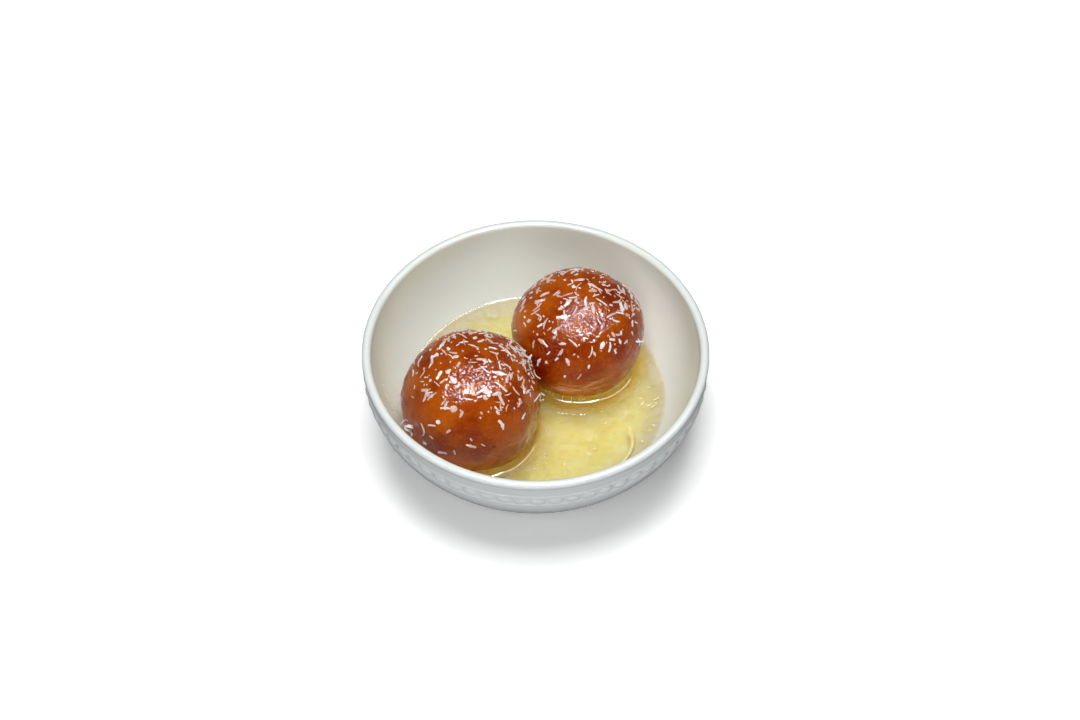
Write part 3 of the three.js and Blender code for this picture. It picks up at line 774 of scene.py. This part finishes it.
def foot_profile():
    """Radius and height from the wall's end round the foot to the underside's middle."""
    flare = FOOT_OUTER + FOOT_FLARE
    recess = FOOT_INNER - RECESS_SLOPE
    turns = np.linspace(0, math.pi / 2, FOOT_TURNS)
    corner = [(FOOT_ROUNDING * (1 - math.cos(turn)), FOOT_ROUNDING * (1 - math.sin(turn))) for turn in turns]
    points = [(flare + FOOT_FILLET[0], FOOT_HEIGHT + FOOT_FILLET[1]), (flare, FOOT_HEIGHT - CORNER_DROP)]
    points += [(FOOT_OUTER - inward, rise) for inward, rise in corner]
    points += [(FOOT_INNER + outward, rise) for rise, outward in corner]
    points += [(recess, FOOT_RECESS - CORNER_DROP), (recess - RECESS_FILLET, FOOT_RECESS)]
    flat = np.linspace(recess - RECESS_FLAT, MIDDLE_RADIUS, RECESS_RINGS)
    return points + [(radius, FOOT_RECESS) for radius in flat]


def outside_ring(drop):
    return turned_ring(outside_radius(np.array(drop)), BOWL_HEIGHT - drop, SIDES)


def bowl_rings():
    """Rings from the middle of the floor up the inside, over the lip and down to the underside."""
    floor_radius, floor_height = INSIDE_CURVE[3]
    flat = np.linspace(MIDDLE_RADIUS, floor_radius, FLOOR_RINGS)[:-1]
    inside = [(radius, floor_height) for radius in flat]
    inside += list(bezier(INSIDE_CURVE, np.linspace(1, 0, INSIDE_RINGS)))
    for turn in np.linspace(math.pi, 0, LIP_RINGS):
        radius = BOWL_RADIUS - LIP_RADIUS + LIP_RADIUS * math.cos(turn)
        inside.append((radius, BOWL_HEIGHT - LIP_RADIUS + LIP_RADIUS * math.sin(turn)))
    rings = [np.array([(0, 0, floor_height)])]
    rings += [turned_ring(radius, height, SIDES) for radius, height in inside]
    rings += [outside_ring(drop) for drop in np.linspace(LIP_RADIUS, BEAD_BAND[0], BAND_RINGS)[1:-1]]
    rings += [bead_ring(drop) for drop in np.linspace(*BEAD_BAND, BEAD_RINGS)]
    rings += [outside_ring(drop) for drop in np.linspace(BEAD_BAND[1], WALL_END_DROP, WALL_RINGS)[1:]]
    rings += [turned_ring(radius, height, SIDES) for radius, height in foot_profile()]
    return rings + [np.array([(0, 0, FOOT_RECESS)])]


# ---------------- balls


def ball_surface(ball, direction, margin):
    """Points of a ball's smooth skin in some directions, moved out by a margin."""
    x, y, z = direction.T
    flat = np.hypot(x, y)
    power = np.where(z < 0, ball["power"], 2.0)
    reach = np.where(z < 0, ball["base"], ball["crown"])
    size = (flat**power + np.abs(z) ** power) ** (-1 / power)
    point = np.stack([x * ball["radius"], y * ball["radius"], z * reach], 1) * size[:, None]
    lump = sum(np.sin(2 * (a * x + b * y + c * z) + phase) for a, b, c, phase in ball["lumps"])
    length = np.linalg.norm(point, axis=1)
    point *= (1 + (LUMP_HEIGHT * lump + margin) / length)[:, None]
    return point + np.array([*ball["centre"], ball["mid_height"]])


def inside_bowl(points):
    """The points, moved in from the bowl's wall and floor where they would reach it."""
    moved = points.copy()
    moved[:, 2] = np.maximum(moved[:, 2], INSIDE_CURVE[3, 1] + WALL_GAP)
    radius = np.hypot(moved[:, 0], moved[:, 1])
    limit = inside_radius(moved[:, 2]) - WALL_GAP
    moved[:, :2] *= np.minimum(1, limit / np.maximum(radius, WALL_GAP))[:, None]
    return moved


def ball_rings(ball, rings, sides, margin, relief):
    """Rings from a ball's top to its bottom, each bumped by layers of noise."""
    made = []
    for polar in np.linspace(0, math.pi, rings + 1):
        count = 1 if polar in (0, math.pi) else sides
        around = np.arange(count) * TURN / count
        flat = (math.sin(polar) * np.sin(around), -math.sin(polar) * np.cos(around))
        direction = np.stack([*flat, np.full(count, math.cos(polar))], 1)
        points = ball_surface(ball, direction, margin)
        bumps = (
            height * rippled(points, size, ball["seed"] + layer)
            for layer, (height, size) in enumerate(relief)
        )
        made.append(points + direction * sum(bumps, np.zeros(count))[:, None])
    return made


def make_ball(name, ball):
    points, faces = skin(ball_rings(ball, BALL_RINGS, BALL_SIDES, 0.0, BALL_RELIEF))
    return make_piece(name, inside_bowl(points), [f[::-1] for f in faces])


# ---------------- syrup


def waterline(ball, height):
    """A ball's radius at a height below its widest ring."""
    depth = (ball["mid_height"] - height) / ball["base"]
    return ball["radius"] * (1 - depth ** ball["power"]) ** (1 / ball["power"])


def capillary_curve():
    """Distance and height of syrup drawn up a steep side, from the wetted line down to the level."""
    height = np.linspace(*CAPILLARY_RANGE, CAPILLARY_STEPS)
    away = np.arccosh(2 / height) - np.sqrt(4 - height**2)
    away = (away - away[0]) * CAPILLARY_LENGTH
    fade = 1 - smoothstep(away, COLLAR_REACH / 2, COLLAR_REACH)
    return away, height * CAPILLARY_LENGTH * fade


def collar(ball, material):
    """The syrup that is drawn up round a ball, as a low turned mound under it."""
    away, height = capillary_curve()
    wetted = waterline(ball, SYRUP_LEVEL + height[0])
    profile = [(wetted * COLLAR_CORE, height[0])]
    for reach in np.linspace(0, 1, COLLAR_RINGS) ** COLLAR_CROWDING * COLLAR_REACH:
        profile.append((wetted + reach, np.interp(reach, away, height)))
    profile.append((wetted + COLLAR_REACH, -COLLAR_DEPTH))
    rings = [np.array([(0, 0, height[0])])]
    rings += [turned_ring(radius, rise, COLLAR_SIDES) for radius, rise in profile]
    rings.append(np.array([(0, 0, -COLLAR_DEPTH)]))
    points, faces = skin(rings)
    return make_piece("collar", points + np.array([*ball["centre"], SYRUP_LEVEL]), faces, material)


def syrup_body(name, top, material):
    """A turned solid that fills the bowl, with a top that rises at the wall and reaches just into it."""
    rim = float(inside_radius(top)) + RIM_OVERLAP
    level = top - WALL_MENISCUS[0]
    rings = [np.array([(0.0, 0.0, level)])]
    for radius in rim * (1 - np.linspace(SYRUP_REACH, 0, SYRUP_RINGS) ** SYRUP_CROWDING):
        rise = WALL_MENISCUS[0] * math.exp(-(rim - radius) / WALL_MENISCUS[1])
        rings.append(turned_ring(radius, level + rise, SYRUP_SIDES))
    for radius, height in INSIDE_POINTS[::-1][::SYRUP_WALL_STEP]:
        if height < top - SYRUP_WALL_DROP:
            rings.append(turned_ring(radius + WALL_OVERLAP, height - WALL_OVERLAP, SYRUP_SIDES))
    rings.append(np.array([(0.0, 0.0, INSIDE_CURVE[3, 1] - WALL_OVERLAP)]))
    points, faces = skin(rings)
    return make_piece(name, points, faces, material)


def make_syrup(material):
    """The bowl's filling and its collars in one, cut round both balls."""
    syrup = syrup_body("syrup_golden", SYRUP_LEVEL + WALL_MENISCUS[0], material)
    collars = [collar(ball, material) for ball in BALLS]
    for mound in collars:
        combine(mound, syrup_body("limit", SYRUP_LEVEL + COLLAR_LIMIT, material), "INTERSECT")
        combine(syrup, mound, "UNION")
    for ball in BALLS:
        combine(syrup, ball_cutter(ball, material), "DIFFERENCE")
    syrup.data.shade_smooth()
    return syrup


def combine(piece, other, operation):
    """Joins, cuts or limits a piece by another one, which is used up."""
    change = piece.modifiers.new("combine", "BOOLEAN")
    change.operation = operation
    change.solver = "MANIFOLD"
    change.object = other
    bpy.context.view_layer.update()
    evaluated = piece.evaluated_get(bpy.context.evaluated_depsgraph_get())
    mesh = bpy.data.meshes.new_from_object(evaluated)
    piece.modifiers.remove(change)
    piece.data = mesh
    bpy.data.objects.remove(other)


def ball_cutter(ball, material):
    """A plain ball, smaller than the sweet, so that the sweet reaches into the syrup."""
    points, faces = skin(ball_rings(ball, CUTTER_RINGS, CUTTER_SIDES, -BALL_OVERLAP, ()))
    return make_piece("cutter", points, [f[::-1] for f in faces], material)


# ---------------- picture to space


def picture_ray(x, y):
    """The camera's place and the direction in which a pixel of the picture lies."""
    camera = bpy.context.scene.camera
    turn = camera.rotation_euler.to_matrix()
    pixel = CAMERA_SENSOR / PICTURE[0] / CAMERA_LENS
    aside = (x - PICTURE[0] / 2) * pixel
    up = (PICTURE[1] / 2 - y) * pixel
    return Vector(CAMERA_PLACE), (turn @ Vector((aside, up, -1))).normalized()


def on_surface(tree, x, y):
    """Where a pixel's ray meets a surface, or, past its edge, the point nearest to the surface."""
    origin, direction = picture_ray(x, y)
    place, normal, _, _ = tree.ray_cast(origin, direction)
    if place is not None:
        return place, normal, True
    distance = (tree.find_nearest(origin)[0] - origin).length
    for _ in range(NEAREST_STEPS):
        point = origin + direction * distance
        place, normal, _, _ = tree.find_nearest(point)
        distance = (place - origin).dot(direction)
    return origin + direction * distance, normal, False


def spot_places(trees, spots):
    """Where the picture's spots lie on the nearest of some surfaces."""
    places = []
    for x, y, radius, strength in spots:
        hits = [place for place, _, touches in (on_surface(tree, x, y) for tree in trees) if touches]
        nearest = min(hits, key=lambda place: (place - Vector(CAMERA_PLACE)).length)
        places.append((nearest, radius, strength))
    return places


def on_level(x, y, height):
    """Where a pixel's ray meets the level at a height."""
    origin, direction = picture_ray(x, y)
    return origin + direction * ((height - origin.z) / direction.z)


# ---------------- coconut


class Strips:
    """Many thin six-sided strips, gathered into one mesh, each with its own wetness."""

    SECTION = ((1, 0), (0.6, 1), (-0.6, 1), (-1, 0), (-0.6, -1), (0.6, -1))

    def __init__(self, seed=0):
        self.random = np.random.default_rng(seed)
        self.points = []
        self.faces = []
        self.wet = []

    def add(self, path, normals, widths, thickness, wet):
        start = len(self.points)
        sides = len(self.SECTION)
        last = len(path) - 1
        for index, (place, normal, width) in enumerate(zip(path, normals, widths)):
            ahead = path[min(index + 1, last)] - path[max(index - 1, 0)]
            side = ahead.cross(normal).normalized()
            up = side.cross(ahead).normalized()
            high = thickness / 2 * min(1, 0.5 + width / max(widths))
            for across, over in self.SECTION:
                self.points.append(place + side * (width / 2 * across) + up * (high * over))
        for ring in range(start, start + sides * last, sides):
            for i in range(sides):
                j = (i + 1) % sides
                self.faces.append((ring + i, ring + j, ring + sides + j, ring + sides + i))
        self.faces.append(tuple(range(start + sides - 1, start - 1, -1)))
        self.faces.append(tuple(range(start + sides * last, start + sides * (last + 1))))
        self.wet += [wet] * (sides * (last + 1))

    def jagged(self, width):
        """Widths along a torn shred, narrower at both ends."""
        share = np.linspace(0, 1, SHRED_STATIONS)
        taper = SHRED_TAPER[0] + SHRED_TAPER[1] * np.sin(math.pi * np.clip(share, *BLUNT_ENDS))
        return width * taper * self.random.uniform(*WIDTH_SPREAD, SHRED_STATIONS)

    def lay(self, tree, start, end, width, wet, free=False):
        """Lays a shred on a surface from start to end. Its end may be free, or lift if it is dry."""
        random = self.random
        lift = random.choice(SHRED_LIFTS) * (1 - wet)
        bow = random.uniform(-SHRED_BOW, SHRED_BOW) * (end - start).length
        turned = random.random() < 0.5
        thickness = SHRED_THICKNESS * random.uniform(*THICKNESS_SPREAD)
        path, normals = [], []
        for share in np.linspace(0, 1, SHRED_STATIONS):
            point = start.lerp(end, share)
            place, normal, _, _ = tree.find_nearest(point)
            if free:
                place = place.lerp(point, share)
            side = (end - start).cross(normal).normalized()
            raised = lift * (share if turned else 1 - share) ** 2
            rest = thickness * (SHRED_REST - SHRED_SOAK * wet)
            path.append(place + normal * (rest + raised) + side * (bow * math.sin(math.pi * share)))
            normals.append(normal)
        self.add(path, normals, self.jagged(width), thickness, wet)

    def piece(self, name, material):
        made = make_piece(name, self.points, self.faces, material, smooth=False)
        wet = made.data.attributes.new("wet", "FLOAT", "POINT")
        wet.data.foreach_set("value", np.array(self.wet, np.float32))
        return made


def sprinkle(strips, tree, ball, other, rule):
    """Scatters shreds and crumbs over a ball's crown, clear of the syrup and the other ball."""
    random = strips.random
    middle, neighbour = (Vector((*one["centre"], one["mid_height"])) for one in (ball, other))
    for index in range(rule["count"] + rule["crumbs"]):
        polar = rule["spread"] * math.sqrt(random.random())
        around = random.uniform(0, TURN)
        x = math.sin(polar) * math.cos(around) + rule["lean"][0]
        y = math.sin(polar) * math.sin(around) + rule["lean"][1]
        direction = Vector((x, y, math.cos(polar))).normalized()
        kind = SPRINKLED_SHRED if index < rule["count"] else SPRINKLED_CRUMB
        length = random.uniform(*kind["length"])
        width = random.uniform(*kind["width"])
        wet = random.uniform(0.0, 1.0) ** SPRINKLE_WETNESS
        place, normal, _, _ = tree.find_nearest(middle + direction * ball["radius"])
        turn = random.uniform(0, math.pi)
        across = normal.orthogonal().normalized()
        along = across * math.cos(turn) + normal.cross(across) * math.sin(turn)
        start, end = place - along * length / 2, place + along * length / 2
        if min(start.z, end.z) < SYRUP_LEVEL + SPRINKLE_CLEARANCE:
            continue
        if (place - neighbour).length < other["radius"] + NEIGHBOUR_CLEARANCE:
            continue
        strips.lay(tree, start, end, width, wet)


def lay_rows(strips, tree, rows):
    """Lays the shreds that are read from the picture. One end may be past the surface's edge."""
    for x0, y0, x1, y1, width, wet in rows:
        start, _, touches_start = on_surface(tree, x0, y0)
        end, _, touches_end = on_surface(tree, x1, y1)
        if not touches_start:
            start, end, touches_end = end, start, touches_start
        width = SHRED_FULLNESS * width / PIXELS_PER_METRE
        strips.lay(tree, start, end, width, wet, free=not touches_end)


def tree_of(piece):
    return BVHTree.FromObject(piece, bpy.context.evaluated_depsgraph_get())


# ---------------- in the syrup


def outside_ball(ball, place):
    """Level distance of a place from a ball's side at the syrup's level."""
    x, y = ball["centre"]
    return math.hypot(place.x - x, place.y - y) - waterline(ball, SYRUP_LEVEL)


def make_strand(material):
    """A flat strand along a cubic curve through the places read from the picture."""
    places = np.array([on_level(x, y, SYRUP_LEVEL - STRAND_DEPTH) for x, y in STRAND])
    curve = np.polyfit(np.linspace(0, 1, len(places)), places, 3)
    shares = np.linspace(0, 1, STRAND_STATIONS)
    path = [Vector(sum(term * share ** (3 - i) for i, term in enumerate(curve))) for share in shares]
    widths = np.interp(shares, (0, STRAND_TIP, 1), (STRAND_WIDTH[0] / 2, *STRAND_WIDTH))
    strips = Strips()
    strips.add(path, [Vector((0, 0, 1))] * len(path), widths, STRAND_THICKNESS, 0)
    return strips.piece("saffron_strand", material)


def make_bubbles(tree, material):
    """Rings of syrup that stand up round small bubbles in its surface."""
    points, faces = [], []
    for x, y, radius in BUBBLES:
        place, normal, _ = on_surface(tree, x, y)
        across = normal.orthogonal().normalized()
        along = normal.cross(across)
        start = len(points)
        tube = BUBBLE_THICKNESS * radius**0.5
        for i in range(BUBBLE_SIDES):
            turn = TURN * i / BUBBLE_SIDES
            outward = across * math.cos(turn) + along * math.sin(turn)
            for j in range(TUBE_SIDES):
                roll = TURN * j / TUBE_SIDES
                offset = outward * (radius + tube * math.cos(roll)) + normal * (tube * math.sin(roll))
                points.append(place + offset)
                i_after, j_after = (i + 1) % BUBBLE_SIDES, (j + 1) % TUBE_SIDES
                corners = ((i, j), (i_after, j), (i_after, j_after), (i, j_after))
                faces.append(tuple(start + a * TUBE_SIDES + b for a, b in corners))
    return make_piece("syrup_bubbles", points, faces, material)


def make_flecks(material):
    """Soft bits of coconut that float in the syrup, most of them along the wall on the right."""
    strips = Strips(FLECK_SEED)
    random = strips.random
    limit = float(inside_radius(SYRUP_LEVEL - FLECK_MARGIN)) - FLECK_MARGIN
    made = 0
    while made < FLECK_COUNT:
        at_right = random.random() < FLECKS_AT_RIGHT
        around = random.uniform(*(RIGHT_SIDE if at_right else (0, TURN)))
        radius = limit * random.uniform(*FLECK_PLACE) ** 0.5
        place = Vector((radius * math.cos(around), radius * math.sin(around), 0))
        place.z = SYRUP_LEVEL - random.uniform(*FLECK_DEPTH)
        if min(outside_ball(ball, place) for ball in BALLS) < FLECK_CLEARANCE:
            continue
        turn = random.uniform(0, math.pi)
        length = random.uniform(*FLECK_LENGTH)
        along = Vector((math.cos(turn), math.sin(turn), random.uniform(*FLECK_TILT))) * length
        path = [place + along * (share - 0.5) for share in np.linspace(0, 1, SHRED_STATIONS)]
        widths = strips.jagged(random.uniform(*FLECK_WIDTH))
        upward = [Vector((0, 0, 1))] * SHRED_STATIONS
        strips.add(path, upward, widths, FLECK_THICKNESS, random.random())
        made += 1
    return strips.piece("coconut_flecks", material)


# ---------------- the scene

make_camera()
make_world()
for light in LIGHTS:
    make_light(*light)
scene = bpy.context.scene
scene.view_settings.view_transform = "Standard"
scene.cycles.use_denoising = True

corners = [(x * FLOOR_REACH, y * FLOOR_REACH, 0) for x, y in ((-1, -1), (1, -1), (1, 1), (-1, 1))]
floor = make_piece("floor", corners, [(0, 1, 2, 3)], pale_floor(), smooth=False)

glazed = porcelain()
points, faces = skin(bowl_rings())
bowl = make_piece("bowl_porcelain", points, [f[::-1] for f in faces], glazed)
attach(bowl, "root")
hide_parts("bowl")

sweets = {}
for name, ball in (("front", FRONT_BALL), ("back", BACK_BALL)):
    sweets[name] = make_ball(f"gulab_jamun_{name}_sweet", ball)
    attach(sweets[name], "root")
    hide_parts(f"gulab_jamun_{name}")

sweet_trees = [tree_of(sweet) for sweet in sweets.values()]
skin_spots = (DARK_SPOTS_AND_SHADE, PALE_SPOTS_AND_LIGHT, WRINKLED_SPOTS, WAVY_SPOTS)
dough = fried_dough(*(spot_places(sweet_trees, spots) for spots in skin_spots))
for sweet in sweets.values():
    sweet.data.materials.append(dough)

golden = sugar_syrup()
syrup = make_syrup(golden)
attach(syrup, "root")
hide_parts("syrup")

shredded = coconut()
for name, ball, other, rows, rule in (
    ("front", FRONT_BALL, BACK_BALL, FRONT_SHREDS, FRONT_SPRINKLE),
    ("back", BACK_BALL, FRONT_BALL, BACK_SHREDS, BACK_SPRINKLE),
):
    tree = tree_of(sweets[name])
    strips = Strips(ball["seed"])
    lay_rows(strips, tree, rows)
    sprinkle(strips, tree, ball, other, rule)
    piece = strips.piece(f"coconut_on_{name}_sweet", shredded)
    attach(piece, "root")
    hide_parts(f"gulab_jamun_{name}")

wall_strips = Strips(WALL_SEED)
lay_rows(wall_strips, tree_of(bowl), WALL_SHREDS)
wall_coconut = wall_strips.piece("coconut_on_wall", shredded)
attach(wall_coconut, "root")
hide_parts("bowl")

for piece, slot in (
    (make_strand(saffron()), "sugar_syrup"),
    (make_bubbles(tree_of(syrup), bubble_rim_highlight()), "sugar_syrup"),
    (make_flecks(soaked_coconut()), "coconut"),
):
    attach(piece, "root")
